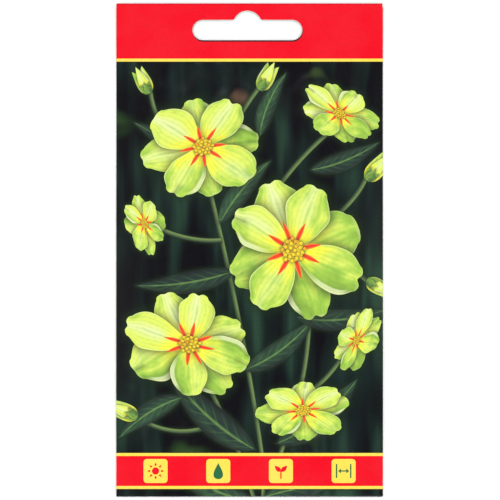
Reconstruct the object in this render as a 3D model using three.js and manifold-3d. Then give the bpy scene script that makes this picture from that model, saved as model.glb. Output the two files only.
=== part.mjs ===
// A sealed paper seed packet with a hang slot, lying on its back, in millimetres.
//
// One sheet of paper is wrapped into a flat tube with a lap seam down the back. The tube's lower end is
// turned up onto the back and held by two beads of glue, the upper end is glued flat into a header with
// the slot punched through it, and loose seeds lie in the pocket between. X runs across the packet, Y up
// to its top edge and Z out of its front. The origin is under its middle, on the surface it lies on.
import * as THREE from "three";
import { mergeVertices } from "three/addons/utils/BufferGeometryUtils.js";
import Module from "manifold-3d";

// Driving dimensions.
const WIDTH = 80; // across the closed packet
const HEIGHT = 148; // from the turned-up bottom to the top edge
const PAPER = 0.15; // thickness of the sheet
const GLUE = 0.06; // the space that a glue film keeps between two layers
const SLACK = 0.01; // a film or a bead stops this far short of the paper on both sides
const LAP = 10; // overlap of the back seam
const TURN_UP = 12; // height of the bottom flap on the back
const TURN_RADIUS = 0.45; // of the bottom fold, at the middle of the tube
const HEADER = 16.5; // height of the glued header
const BULGE = 2.6; // how far the front stands off the back at the fullest place
const EDGE_SHARE = 0.35; // share of the bulge by which the side folds rise
const HEADER_RISE = 0.8; // of the top edge above the table

// The hang slot: a long hole with round ends and a crown for the hook in the middle of its upper side.
const SLOT_WIDTH = 33;
const SLOT_HEIGHT = 6.1;
const SLOT_BELOW_TOP = 4.9; // from the packet's top edge down to the slot's shoulders
const SLOT_SHIFT = -0.65; // the punch sits this far off the middle
const CROWN_RADIUS = 4.4;
const CROWN_RISE = 2.75; // above the shoulders
const SHOULDER_FILLET = 0.4;
const PUNCH_LOW = -1; // the punch's stroke, through every layer of the header
const PUNCH_HIGH = 3;

// The seeds.
const SEED_COUNT = 30;
const SEED_LENGTH = 2.1;
const SEED_SIDES = 6;
const SEED_RINGS = [0.12, 0.38, 0.66, 0.9]; // along the grain, as shares of its length
const SEED_CORNERS = 0.22; // how far its three corners stand out, as a share of its radius
const SEED_FLATNESS = 0.8; // its height as a share of its breadth
const SEED_SPACING = 2.7; // least distance between two middles
const SEED_FIELD = { x: 26, low: -52, high: 4 }; // where they lie in the pocket
const SEED_ROOM = 1.5; // they lie only where the pocket is at least this deep
const SEED_REST = 0.05; // clearance to the paper under a seed
const SEED_DRAW = 20240611; // start of the random draw

// Worked out from them.
const LAYER = PAPER + GLUE; // from one glued layer to the next
const FOLD_RADIUS = LAYER / 2; // of the side folds, at the middle of the paper
const STACK_HALF = TURN_RADIUS + FOLD_RADIUS + PAPER / 2; // half the turned-up bottom's thickness
const FOLD_X = WIDTH / 2 - FOLD_RADIUS - PAPER / 2; // where the side folds start to turn
const TOP_Y = HEIGHT / 2;
const TURN_Y = STACK_HALF - TOP_Y; // where the bottom fold starts to turn
const FOLD_ARC = Math.PI * FOLD_RADIUS;
const TURN_ARC = Math.PI * TURN_RADIUS;
const FLAP_END = TURN_Y - TURN_ARC - (TURN_UP - STACK_HALF); // the sheet's lower edge, along the sheet
const SHEET_HALF = FOLD_X + FOLD_ARC + FOLD_X + LAP / 2; // half the sheet's width
const POCKET_LOW = TURN_UP - TOP_Y;
const POCKET_HIGH = TOP_Y - HEADER;
const STEP_DOWN = 2; // width of the slope by which the outer lap steps over the inner one
const FLAT_HALF = LAP / 2 + STEP_DOWN + 2; // the back stays flat this far either side of its middle
const SETTLE = 2 * TURN_RADIUS - LAYER; // the body sinks this far from the bottom fold to the table
const SETTLE_FROM = POCKET_LOW + 2;
const SETTLE_TO = -5;
const CURL_FROM = 30; // from here to the header the packet bends up off the table
const HUMP_SKEW = 0.75; // below 1, so that the fullest place lies under the middle
const HUMP_POWER = 1.2; // how softly the swell starts at the flap and the header
const FRONT_POWER = 2.6; // how flat the front stays before it falls to the side folds
const BACK_POWER = 2.4; // how late the back rises to the side folds

const FINISHES = {
  print: { color: 0x1f4a35, roughness: 0.4, metalness: 0 },
  glue: { color: 0xe9dfc2, roughness: 0.35, metalness: 0 },
  seed: { color: 0x3a2a20, roughness: 0.8, metalness: 0 },
};

const wasm = await Module();
wasm.setup();

const clamp = (v, low, high) => Math.min(high, Math.max(low, v));

function smoothstep(from, to, v) {
  const t = clamp((v - from) / (to - from), 0, 1);
  return t * t * (3 - 2 * t);
}

// The pocket's swell along the packet: nothing at the header and at the flap, fullest below the middle.
function hump(w) {
  const t = clamp((w - POCKET_LOW) / (POCKET_HIGH - POCKET_LOW), 0, 1);
  return BULGE * Math.sin(Math.PI * t ** HUMP_SKEW) ** HUMP_POWER;
}

// From 0 on the flat middle strip of the back to 1 at the side folds.
function sideRise(x) {
  return clamp((Math.abs(x) - FLAT_HALF) / (FOLD_X - FLAT_HALF), 0, 1) ** BACK_POWER;
}

// How far the pocket's air lifts a layer. back is 0 on the front panel and 1 on the back.
function swell(x, w, back) {
  const front = 1 - (1 - EDGE_SHARE) * clamp(Math.abs(x) / FOLD_X, 0, 1) ** FRONT_POWER;
  return hump(w) * ((1 - back) * front + back * EDGE_SHARE * sideRise(x));
}

// The rise towards the top edge: an even bend up to the header, which is flat.
function curl(w) {
  const bend = POCKET_HIGH - CURL_FROM;
  const run = clamp(w - CURL_FROM, 0, bend);
  const straight = Math.max(w - POCKET_HIGH, 0);
  return (HEADER_RISE * (run ** 2 / 2 + bend * straight)) / (bend ** 2 / 2 + bend * HEADER);
}

// Turns the flattened tube's lower end up onto the back, and lays the rest down on the table. level is
// the height within the tube's stack of layers, w the distance along the sheet.
function turnUp(x, w, level) {
  const past = TURN_Y - w;
  const angle = clamp(past / TURN_RADIUS, 0, Math.PI);
  const run = Math.max(-past, 0) + Math.max(past - TURN_ARC, 0);
  const y = TURN_Y + run - (TURN_RADIUS + level) * Math.sin(angle);
  let z = STACK_HALF + (TURN_RADIUS + level) * Math.cos(angle);
  if (past < 0) {
    z += curl(w) - SETTLE * smoothstep(SETTLE_FROM, SETTLE_TO, w);
  }
  return new THREE.Vector3(x, y, z);
}

// Wraps a point of the flat sheet into place. s runs across the sheet from the middle of the front, w
// along it, and out is the distance from the middle of the paper towards its printed face.
function wrap(s, w, out) {
  const side = Math.sign(s);
  const across = Math.abs(s);
  const angle = clamp((across - FOLD_X) / FOLD_RADIUS, 0, Math.PI);
  const run = Math.max(across - FOLD_X - FOLD_ARC, 0);
  const radius = FOLD_RADIUS + out;
  const x = side * (Math.min(across, FOLD_X) + radius * Math.sin(angle) - run);
  const overLap = side > 0 ? smoothstep(FOLD_X - LAP / 2 - STEP_DOWN, FOLD_X - LAP / 2, run) : 0;
  const level = radius * Math.cos(angle) - LAYER * overLap + swell(x, w, angle / Math.PI);
  return turnUp(x, w, level);
}

function lines(from, to, cells) {
  return Array.from({ length: cells + 1 }, (_, i) => from + ((to - from) * i) / cells);
}

// Joins stretches of grid lines that meet end to end.
function joined(...stretches) {
  return stretches.flatMap((stretch, i) => (i ? stretch.slice(1) : stretch));
}

// A closed slab: place(a, b, face) puts each crossing of the grid lines, with face 0 below and 1 above.
function slab(aLines, bLines, place) {
  const positions = [];
  const triangles = [];
  const columns = aLines.length;
  const rows = bLines.length;
  const at = (i, j, face) => (face * rows + j) * columns + i;
  for (const face of [0, 1])
    for (const b of bLines) for (const a of aLines) positions.push(...place(a, b, face).toArray());
  const quad = (p, q, r, t) => triangles.push(p, q, r, p, r, t);
  for (let j = 0; j + 1 < rows; j++)
    for (let i = 0; i + 1 < columns; i++) {
      quad(at(i, j, 1), at(i + 1, j, 1), at(i + 1, j + 1, 1), at(i, j + 1, 1));
      triangles.push(at(i, j, 0), at(i + 1, j + 1, 0), at(i + 1, j, 0));
      triangles.push(at(i, j, 0), at(i, j + 1, 0), at(i + 1, j + 1, 0));
    }
  for (let i = 0; i + 1 < columns; i++) {
    quad(at(i, 0, 0), at(i + 1, 0, 0), at(i + 1, 0, 1), at(i, 0, 1));
    quad(at(i + 1, rows - 1, 0), at(i, rows - 1, 0), at(i, rows - 1, 1), at(i + 1, rows - 1, 1));
  }
  for (let j = 0; j + 1 < rows; j++) {
    quad(at(0, j + 1, 0), at(0, j, 0), at(0, j, 1), at(0, j + 1, 1));
    quad(at(columns - 1, j, 0), at(columns - 1, j + 1, 0), at(columns - 1, j + 1, 1), at(columns - 1, j, 1));
  }
  const geometry = new THREE.BufferGeometry();
  geometry.setAttribute("position", new THREE.Float32BufferAttribute(positions, 3));
  geometry.setIndex(triangles);
  return geometry;
}

function solidOf(geometry) {
  const bare = new THREE.BufferGeometry().setAttribute("position", geometry.getAttribute("position"));
  if (geometry.index) bare.setIndex(geometry.index);
  const merged = mergeVertices(bare, 1e-4);
  return new wasm.Manifold(
    new wasm.Mesh({
      numProp: 3,
      vertProperties: merged.getAttribute("position").array,
      triVerts: new Uint32Array(merged.index.array),
    }),
  );
}

function geometryOf(solid) {
  const { numVert, numProp, vertProperties, triVerts } = solid.getMesh();
  const positions = new Float32Array(numVert * 3);
  for (let i = 0; i < numVert; i++)
    positions.set(vertProperties.subarray(i * numProp, i * numProp + 3), i * 3);
  const geometry = new THREE.BufferGeometry();
  geometry.setAttribute("position", new THREE.BufferAttribute(positions, 3));
  geometry.setIndex(new THREE.BufferAttribute(triVerts, 1));
  return geometry;
}

// The slot's outline, then its punch: the outline drawn up through every layer of the header.
function slotPunch() {
  const end = SLOT_HEIGHT / 2;
  const reach = SLOT_WIDTH / 2 - end;
  const crownY = end + CROWN_RISE - CROWN_RADIUS; // the crown's centre, from the slot's middle line
  const filletY = end + SHOULDER_FILLET;
  const spread = CROWN_RADIUS + SHOULDER_FILLET;
  const filletX = Math.sqrt(spread ** 2 - (filletY - crownY) ** 2);
  const lean = Math.atan2(filletY - crownY, filletX); // from the crown's centre to the fillet's
  const outline = new THREE.Shape();
  outline.moveTo(-reach, -end);
  outline.lineTo(reach, -end);
  outline.absarc(reach, 0, end, -Math.PI / 2, Math.PI / 2);
  outline.absarc(filletX, filletY, SHOULDER_FILLET, -Math.PI / 2, lean - Math.PI, true);
  outline.absarc(0, crownY, CROWN_RADIUS, lean, Math.PI - lean);
  outline.absarc(-filletX, filletY, SHOULDER_FILLET, -lean, -Math.PI / 2, true);
  outline.absarc(-reach, 0, end, Math.PI / 2, (3 * Math.PI) / 2);
  const stroke = PUNCH_HIGH - PUNCH_LOW;
  const geometry = new THREE.ExtrudeGeometry(outline, { depth: stroke, bevelEnabled: false, curveSegments: 8 });
  geometry.translate(SLOT_SHIFT, TOP_Y - SLOT_BELOW_TOP - end, PUNCH_LOW);
  return solidOf(geometry);
}

function punched(geometry, punch) {
  return geometryOf(solidOf(geometry).subtract(punch));
}

// The printed sheet, wrapped and folded in one piece.
function sheet(punch) {
  const panelEnd = FOLD_X + FOLD_ARC;
  const lapStart = SHEET_HALF - LAP;
  const half = joined(
    lines(FOLD_X, panelEnd, 4),
    lines(panelEnd, lapStart - STEP_DOWN, 6),
    lines(lapStart - STEP_DOWN, lapStart, 2),
    lines(lapStart, SHEET_HALF, 1),
  );
  const across = joined(
    half.map((s) => -s).reverse(),
    lines(-FOLD_X, FOLD_X, 12),
    half,
  );
  const along = joined(
    lines(FLAP_END, TURN_Y - TURN_ARC, 2),
    lines(TURN_Y - TURN_ARC, TURN_Y, 8),
    lines(TURN_Y, POCKET_LOW, 2),
    lines(POCKET_LOW, POCKET_HIGH, 17),
    lines(POCKET_HIGH, TOP_Y, 2),
  );
  return punched(
    slab(across, along, (s, w, face) => wrap(s, w, face ? PAPER / 2 : -PAPER / 2)),
    punch,
  );
}

// A film of glue in the tube's stack of layers, from level low to level high.
function film(xLines, wLines, low, high) {
  return slab(xLines, wLines, (x, w, face) => turnUp(x, w, face ? high : low));
}

// Holds the outer lap of the back seam on the inner one, from the flap round the bottom fold up to the slot.
function seamGlue() {
  const inset = 1.5;
  const top = -FOLD_RADIUS - PAPER / 2 - SLACK;
  const end = TOP_Y - SLOT_BELOW_TOP - SLOT_HEIGHT - 1;
  const along = joined(
    lines(FLAP_END + inset, TURN_Y - TURN_ARC, 2),
    lines(TURN_Y - TURN_ARC, TURN_Y, 8),
    lines(TURN_Y, POCKET_LOW, 2),
    lines(POCKET_LOW, POCKET_HIGH, 17),
    lines(POCKET_HIGH, end, 1),
  );
  return film([inset - LAP / 2, LAP / 2 - inset], along, top - GLUE + 2 * SLACK, top);
}

// Closes the packet's mouth: a film between the front and back panels all over the header but its sides.
function mouthGlue(punch) {
  const half = GLUE / 2 - SLACK;
  const reach = FOLD_X - 1.5;
  return punched(film([-reach, reach], [POCKET_HIGH, TOP_Y - 1], -half, half), punch);
}

// One of the two beads that hold the turned-up flap to the back, either side of the seam.
function flapBead(side) {
  const facing = TURN_RADIUS - FOLD_RADIUS - PAPER / 2; // from the fold's axis to each printed face
  const half = facing - SLACK;
  const beadHalf = 1.6;
  const inner = FLAT_HALF + 1;
  const outer = FOLD_X - 4;
  const middleY = POCKET_LOW - TURN_UP / 2;
  const geometry = new THREE.BoxGeometry(outer - inner, 2 * beadHalf, 2 * half);
  geometry.translate((side * (inner + outer)) / 2, middleY, STACK_HALF);
  return geometry;
}

// A repeatable draw of numbers from 0 to 1.
function draws(start) {
  let state = start;
  return () => {
    state = (Math.imul(state, 1664525) + 1013904223) >>> 0;
    return state / 2 ** 32;
  };
}

// A seed: a three-cornered grain, blunt at one end and drawn to a point at the other, with flat flanks.
function seedGeometry(draw) {
  const length = SEED_LENGTH * (0.88 + 0.24 * draw());
  const stout = 0.27 + 0.05 * draw();
  const skew = draw() * Math.PI;
  const radiusAt = (share) => length * stout * Math.sin(Math.PI * share ** 0.7) ** 0.75;
  const positions = [-length / 2, 0, 0];
  for (const share of SEED_RINGS)
    for (let k = 0; k < SEED_SIDES; k++) {
      const turn = (2 * Math.PI * k) / SEED_SIDES;
      const radius = radiusAt(share) * (1 + SEED_CORNERS * Math.cos(3 * turn + skew));
      const height = SEED_FLATNESS * radius * Math.sin(turn);
      positions.push((share - 0.5) * length, radius * Math.cos(turn), height);
    }
  positions.push(length / 2, 0, 0);
  const at = (ring, k) => 1 + ring * SEED_SIDES + (k % SEED_SIDES);
  const last = SEED_RINGS.length - 1;
  const tip = at(last, SEED_SIDES - 1) + 1;
  const triangles = [];
  for (let k = 0; k < SEED_SIDES; k++) {
    triangles.push(0, at(0, k + 1), at(0, k));
    for (let ring = 0; ring < last; ring++) {
      triangles.push(at(ring, k), at(ring, k + 1), at(ring + 1, k + 1));
      triangles.push(at(ring, k), at(ring + 1, k + 1), at(ring + 1, k));
    }
    triangles.push(tip, at(last, k), at(last, k + 1));
  }
  const geometry = new THREE.BufferGeometry();
  geometry.setAttribute("position", new THREE.Float32BufferAttribute(positions, 3));
  geometry.setIndex(triangles);
  geometry.rotateZ(2 * Math.PI * draw());
  geometry.computeBoundingBox();
  return geometry;
}

// Where a seed's middle goes: the next free place in the field, more often low down than high up.
function nextPlace(taken, draw) {
  for (;;) {
    const x = SEED_FIELD.x * (2 * draw() - 1);
    const y = SEED_FIELD.low + (SEED_FIELD.high - SEED_FIELD.low) * Math.min(draw(), draw());
    const free = taken.every((other) => Math.hypot(x - other.x, y - other.y) >= SEED_SPACING);
    if (free && swell(x, y, 0) - swell(x, y, 1) >= SEED_ROOM) return { x, y };
  }
}

// The height of the pocket's floor at its highest under a seed.
function floorUnder(box, x, y) {
  const corners = [box.min.x, box.max.x].flatMap((dx) => [box.min.y, box.max.y].map((dy) => [x + dx, y + dy]));
  return Math.max(
    ...corners.map(([cx, cy]) => {
      const inner = -FOLD_RADIUS + PAPER / 2 + swell(cx, cy, 1);
      return turnUp(cx, cy, inner).z;
    }),
  );
}

function named(name, geometry, look) {
  const mesh = new THREE.Mesh(geometry, new THREE.MeshStandardMaterial(look));
  mesh.name = name;
  return mesh;
}

function seeds() {
  const draw = draws(SEED_DRAW);
  const group = new THREE.Group();
  const taken = [];
  for (let i = 1; i <= SEED_COUNT; i++) {
    const geometry = seedGeometry(draw);
    const place = nextPlace(taken, draw);
    taken.push(place);
    const mesh = named(`seed_${String(i).padStart(2, "0")}`, geometry, FINISHES.seed);
    const box = geometry.boundingBox;
    mesh.position.set(place.x, place.y, floorUnder(box, place.x, place.y) + SEED_REST - box.min.z);
    group.add(mesh);
  }
  return group;
}

function seedPacket() {
  const punch = slotPunch();
  const group = new THREE.Group();
  group.add(
    named("paper_sheet", sheet(punch), FINISHES.print),
    named("seam_glue", seamGlue(), FINISHES.glue),
    named("mouth_glue", mouthGlue(punch), FINISHES.glue),
    named("flap_bead_left", flapBead(-1), FINISHES.glue),
    named("flap_bead_right", flapBead(1), FINISHES.glue),
    seeds(),
  );
  return group;
}

export default seedPacket();
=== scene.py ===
"""Dresses a folded seed packet: its printed sheet, the glue and the seeds in it, and the table it lies on.

The print is laid out on the flat sheet, in millimetres. Across the sheet, s = 0 is the middle of the front,
and the side folds and the back panels lie beyond it to both sides. Along the sheet, w grows towards the
packet's top edge, and the flap that is turned up onto the back lies below the front. One tree of geometry
nodes then folds the printed sheet into the packet.
"""

import math
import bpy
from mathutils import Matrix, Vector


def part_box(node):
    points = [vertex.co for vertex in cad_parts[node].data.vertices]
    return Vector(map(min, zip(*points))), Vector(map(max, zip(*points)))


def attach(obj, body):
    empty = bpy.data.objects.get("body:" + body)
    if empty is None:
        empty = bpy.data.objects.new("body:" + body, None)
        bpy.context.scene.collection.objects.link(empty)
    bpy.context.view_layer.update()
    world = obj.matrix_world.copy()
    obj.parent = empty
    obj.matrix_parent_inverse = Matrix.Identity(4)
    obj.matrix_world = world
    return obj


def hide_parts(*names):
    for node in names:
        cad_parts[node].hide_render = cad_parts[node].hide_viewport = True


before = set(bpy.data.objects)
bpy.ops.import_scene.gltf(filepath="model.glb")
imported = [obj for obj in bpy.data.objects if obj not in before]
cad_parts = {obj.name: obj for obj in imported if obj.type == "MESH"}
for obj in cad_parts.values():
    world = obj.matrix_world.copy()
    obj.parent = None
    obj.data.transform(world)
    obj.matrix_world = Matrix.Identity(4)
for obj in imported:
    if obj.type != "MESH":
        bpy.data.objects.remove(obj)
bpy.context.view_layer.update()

from types import SimpleNamespace

import bmesh
import bpy
import numpy as np
from bpy.props import FloatProperty, FloatVectorProperty, IntProperty, PointerProperty
from mathutils import Vector
from mathutils.geometry import delaunay_2d_cdt

bl_info = {
    "name": "Seed Packet",
    "version": (1, 0, 0),
    "blender": (4, 5, 0),
    "location": "View3D > Sidebar > Seed Packet",
    "description": "Prints, folds and fills a paper seed packet",
    "category": "Add Mesh",
}

MM = 0.001
SHEET_LOW, SHEET_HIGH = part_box("paper_sheet")
WIDTH = (SHEET_HIGH.x - SHEET_LOW.x) / MM
HEIGHT = (SHEET_HIGH.y - SHEET_LOW.y) / MM
SEED_NODES = sorted(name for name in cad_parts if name.startswith("seed_"))
GLUE_NODES = ("seam_glue", "mouth_glue", "flap_bead_left", "flap_bead_right")


# --- What a user would change ---


def linear(code):
    """The colour with this sRGB code, such as "f81f32", in the numbers that Blender stores."""
    shares = [int(code[i : i + 2], 16) / 255 for i in (0, 2, 4)]
    return [c / 12.92 if c <= 0.04045 else ((c + 0.055) / 1.055) ** 2.4 for c in shares]


def length(name, default, description):
    return FloatProperty(
        name=name, description=description, default=default * MM, min=0, unit="LENGTH", precision=5
    )


def colour(name, code, description):
    return FloatVectorProperty(
        name=name, description=description, default=linear(code), min=0, max=1, subtype="COLOR"
    )


class PacketSheetSettings(bpy.types.PropertyGroup):
    """Sizes of the folded sheet."""

    paper: length("Paper", 0.15, "Thickness of the sheet")
    glue_film: length("Glue Film", 0.06, "Space that glue keeps between two layers")
    lap: length("Lap", 10, "Overlap of the back seam")
    turn_up: length("Turn-up", 12, "Height of the flap turned up onto the back")
    turn_radius: length("Turn Radius", 0.45, "Radius of the bottom fold")
    header: length("Header", 16.5, "Height of the glued header")
    bulge: length("Bulge", 2.6, "How far the front stands off the back at its fullest")
    header_rise: length("Header Rise", 0.8, "How far the top edge stands off the table")
    ripple: length("Ripple", 0.16, "Height of the paper's soft waves over the pocket")
    pucker: length("Pucker", 0.22, "Height of the short creases beside the header and the flap")
    grain: length("Mesh Spacing", 1.0, "Distance between mesh points in the picture")


class PacketPrintSettings(bpy.types.PropertyGroup):
    """Colours of the print."""

    red: colour("Red", "f30621", "Header and base band")
    yellow: colour("Yellow", "fde34e", "Rules and pictogram plates")
    cream: colour("Cream", "f6f2d8", "Ground of the back")
    green: colour("Green", "1c6a3c", "Lines and plates of the back")
    night: colour("Night", "03020a", "Darkest garden background")
    teal: colour("Teal", "1e3630", "Out-of-focus leaves in the background")
    petal_heart: colour("Petal Heart", "fffa3c", "Petals near the middle of a bloom")
    petal: colour("Petal", "e8f86a", "Middle of a petal")
    petal_light: colour("Petal Light", "f8ffc8", "Soft highlights on petals")
    petal_end: colour("Petal End", "a2d048", "Outer part of a petal")
    petal_edge: colour("Petal Edge", "fcffb8", "Thin margin round a petal")
    accent: colour("Accent", "f23d17", "Flecks near the middle of a bloom")
    leaf: colour("Leaf", "2f5637", "Leaves")


class PacketSeedSettings(bpy.types.PropertyGroup):
    """Looks of the seeds."""

    coat: colour("Coat", "3a2b20", "Seed coat")
    wrinkle: length("Wrinkle", 0.06, "Depth of the coat's wrinkles")
    detail: IntProperty(name="Detail", description="Subdivisions of a seed", default=3, min=1, max=4)


class PacketTableSettings(bpy.types.PropertyGroup):
    """Light and view."""

    lamp: FloatProperty(name="Lamps", description="Power of each lamp", default=1.45, min=0, unit="POWER")
    sky: FloatProperty(name="Sky", description="Strength of the even light", default=0.39, min=0)
    lens: FloatProperty(name="Lens", description="Focal length", default=150, min=20, unit="CAMERA")


SETTINGS = {
    "packet_sheet": PacketSheetSettings,
    "packet_print": PacketPrintSettings,
    "packet_seeds": PacketSeedSettings,
    "packet_table": PacketTableSettings,
}


# --- Nodes: a formula over wires reads as a sum ---


def feed(socket, value):
    """Sets a socket from a value, or links a wire to it."""
    if isinstance(value, Wire):
        value.tree.links.new(value.socket, socket)
    else:
        socket.default_value = value


def add(tree, kind, inputs=None, output=0, **options):
    """Adds a node with its options set and its inputs fed, and gives one of its outputs."""
    node = tree.nodes.new(kind)
    for name, value in options.items():
        setattr(node, name, value)
    for key, value in (inputs or {}).items():
        feed(node.inputs[key], value)
    return Wire(node.outputs[output])


def calc(tree, operation, *values):
    return add(tree, "ShaderNodeMath", dict(enumerate(values)), operation=operation)


def maths(operation):
    """A method that adds one maths node to a wire."""

    def method(self, *others):
        return calc(self.tree, operation, self, *others)

    return method


class Wire:
    """An output in a node tree, which arithmetic joins to new maths nodes."""

    __add__ = __radd__ = maths("ADD")
    __sub__ = maths("SUBTRACT")
    __mul__ = __rmul__ = maths("MULTIPLY")
    __truediv__ = maths("DIVIDE")
    __pow__ = maths("POWER")
    __abs__ = maths("ABSOLUTE")
    sign = maths("SIGN")
    sine = maths("SINE")
    cosine = maths("COSINE")
    angle = maths("ARCTAN2")
    least = maths("MINIMUM")
    most = maths("MAXIMUM")
    above = maths("GREATER_THAN")
    below = maths("LESS_THAN")

    def __init__(self, socket):
        self.socket = socket
        self.tree = socket.id_data

    def __rsub__(self, other):
        return calc(self.tree, "SUBTRACT", other, self)

    def clamp(self, low=0.0, high=1.0):
        return self.most(low).least(high)

    def smooth(self, low, high):
        """From 0 at low to 1 at high, easing in and out."""
        ends = {"Value": self, "From Min": low, "From Max": high}
        return add(self.tree, "ShaderNodeMapRange", ends, interpolation_type="SMOOTHSTEP")

    def within(self, reach):
        """From 1 at 0 straight down to 0 at reach."""
        return 1 - (self / reach).clamp()

    def split(self):
        """The three numbers of a vector."""
        x = add(self.tree, "ShaderNodeSeparateXYZ", {0: self})
        return [Wire(socket) for socket in x.socket.node.outputs]

    def beside(self, name):
        """Another output of the node that this one comes from."""
        return Wire(self.socket.node.outputs[name])


def joined(tree, x, y, z=0.0):
    return add(tree, "ShaderNodeCombineXYZ", {0: x, 1: y, 2: z})


def rgba(value):
    """What a colour socket takes, from a wire, a colour or an sRGB code."""
    if isinstance(value, Wire):
        return value
    channels = linear(value) if isinstance(value, str) else value
    return (*tuple(channels)[:3], 1.0)


def mix(share, low, high):
    """A colour between low and high."""
    inputs = {0: share, 6: rgba(low), 7: rgba(high)}
    return add(share.tree, "ShaderNodeMix", inputs, output=2, data_type="RGBA")


def layered(ink, *layers):
    """An ink with other colours over it. A layer is its mask, its strength and its colour."""
    for mask, strength, colour in layers:
        ink = mix(mask * strength, ink, colour)
    return ink


def noise(vector, scale, detail=2.0, roughness=0.5, distortion=0.0):
    inputs = {"Vector": vector, "Scale": scale, "Detail": detail, "Roughness": roughness}
    return add(vector.tree, "ShaderNodeTexNoise", inputs | {"Distortion": distortion})


def stretched(vector, scale, turn):
    """A vector turned about Z, in degrees, and scaled along each axis."""
    inputs = {"Vector": vector, "Scale": scale, "Rotation": (0, 0, math.radians(turn))}
    return add(vector.tree, "ShaderNodeMapping", inputs)


COLUMN_WIDTH = 220  # of a drawn tree
ROW_HEIGHT = 180


def arrange(tree):
    """Spreads a tree's nodes in columns by how many nodes feed them in a row."""
    depth = {node: 0 for node in tree.nodes}
    for _ in tree.nodes:
        for link in tree.links:
            depth[link.to_node] = max(depth[link.to_node], depth[link.from_node] + 1)
    rows = {}
    for node, column in depth.items():
        rows[column] = rows.get(column, 0) + 1
        node.location = (COLUMN_WIDTH * column, -ROW_HEIGHT * rows[column])


SOCKETS = {
    "number": "NodeSocketFloat",
    "count": "NodeSocketInt",
    "colour": "NodeSocketColor",
    "vector": "NodeSocketVector",
    "geometry": "NodeSocketGeometry",
}


def new_group(name, inputs, outputs, work_out, kind="ShaderNodeTree"):
    """Builds a node group. work_out gives its outputs by name from its tree and its inputs."""
    tree = bpy.data.node_groups.new(name, kind)
    for label, (form, default) in inputs.items():
        item = tree.interface.new_socket(label, in_out="INPUT", socket_type=SOCKETS[form])
        if default is not None:
            item.default_value = default
    for label, form in outputs.items():
        tree.interface.new_socket(label, in_out="OUTPUT", socket_type=SOCKETS[form])
    given = tree.nodes.new("NodeGroupInput")
    result = tree.nodes.new("NodeGroupOutput")
    made = work_out(tree, {label: Wire(given.outputs[label]) for label in inputs})
    for label, wire in made.items():
        feed(result.inputs[label], wire)
    arrange(tree)
    return tree


def shared_group(name, inputs, outputs):
    """Turns a function that works out named outputs into a shader group. The group is built once, and each
    call of the function places it in a tree and gives its outputs."""

    def decorate(work_out):
        def place(tree, **values):
            group = bpy.data.node_groups.get(name) or new_group(name, inputs, outputs, work_out)
            node = add(tree, "ShaderNodeGroup", values, node_tree=group).socket.node
            return SimpleNamespace(**{socket.name.lower(): Wire(socket) for socket in node.outputs})

        return place

    return decorate


def shaping_tree(name, inputs, work_out):
    """A tree for a modifier. work_out gives the new shape from the tree and its inputs."""
    tree = new_group(
        name,
        {"Geometry": ("geometry", None)} | inputs,
        {"Geometry": "geometry"},
        lambda tree, given: {"Geometry": work_out(tree, given)},
        "GeometryNodeTree",
    )
    tree.is_modifier = True
    return tree


def stored(tree, name, kind):
    """An attribute of a mesh, in a tree that shapes it."""
    node = add(tree, "GeometryNodeInputNamedAttribute", {"Name": name}, data_type=kind).socket.node
    return Wire(next(socket for socket in node.outputs if socket.enabled))


# --- The flat sheet ---

STEP_DOWN = 2.0  # width of the slope by which the outer lap steps over the inner one
CELLS_IN_FOLD = 6  # faces round a side fold, round the turn at the bottom and down the lap's slope
CELLS_IN_TURN = 10
CELLS_IN_STEP = 6


def measures(sheet):
    """The flat sheet's lines, in millimetres, worked out from the folded packet's sizes."""
    m = SimpleNamespace(paper=sheet.paper / MM, lap=sheet.lap / MM, turn_radius=sheet.turn_radius / MM)
    m.layer = m.paper + sheet.glue_film / MM
    m.fold_radius = m.layer / 2
    m.stack_half = m.turn_radius + m.fold_radius + m.paper / 2
    m.fold = WIDTH / 2 - m.fold_radius - m.paper / 2
    m.fold_arc = math.pi * m.fold_radius
    m.fold_end = m.fold + m.fold_arc
    m.turn_arc = math.pi * m.turn_radius
    m.top = HEIGHT / 2
    m.turn = m.stack_half - m.top
    m.turn_end = m.turn - m.turn_arc
    m.low = m.turn_end - (sheet.turn_up / MM - m.stack_half)
    m.back_middle = 2 * m.fold + m.fold_arc
    m.side = m.back_middle + m.lap / 2
    m.step_end = m.side - m.lap
    m.pocket_low = sheet.turn_up / MM - m.top
    m.pocket_high = m.top - sheet.header / MM
    return m


# The hang slot.
SLOT_WIDTH = 33.0
SLOT_HEIGHT = 6.1
SLOT_BELOW_TOP = 4.9
SLOT_SHIFT = -0.65
CROWN_RADIUS = 4.4
CROWN_RISE = 2.75
SHOULDER_FILLET = 0.4
# Painted shadow along the slot's lower right edge: how far each dark crescent is shifted out from the slot,
# and how dark it is.
SLOT_SHADOW_CRESCENTS = (((0.16, -0.62), 0.3), ((0.1, -0.4), 1.0))


def arc(x, y, radius, start, end, steps):
    """Points on an arc, from one angle to another in degrees."""
    turn = np.radians(np.linspace(start, end, steps))
    return np.c_[x + radius * np.cos(turn), y + radius * np.sin(turn)]


def slot_outline(m):
    """The slot with its round ends and its crown."""
    end = SLOT_HEIGHT / 2
    reach = SLOT_WIDTH / 2 - end
    crown_y = end + CROWN_RISE - CROWN_RADIUS
    fillet_y = end + SHOULDER_FILLET
    spread = CROWN_RADIUS + SHOULDER_FILLET
    fillet_x = math.sqrt(spread**2 - (fillet_y - crown_y) ** 2)
    lean = math.degrees(math.atan2(fillet_y - crown_y, fillet_x))
    right_end = arc(reach, 0, end, -90, 90, 17)
    shoulder = arc(fillet_x, fillet_y, SHOULDER_FILLET, -90, lean - 180, 5)
    crown = arc(0, crown_y, CROWN_RADIUS, lean, 90, 9)
    right = np.vstack([right_end, shoulder, crown])
    left = right[-2::-1] * (-1, 1)
    return np.vstack([right, left]) + (SLOT_SHIFT, m.top - SLOT_BELOW_TOP - end)
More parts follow.
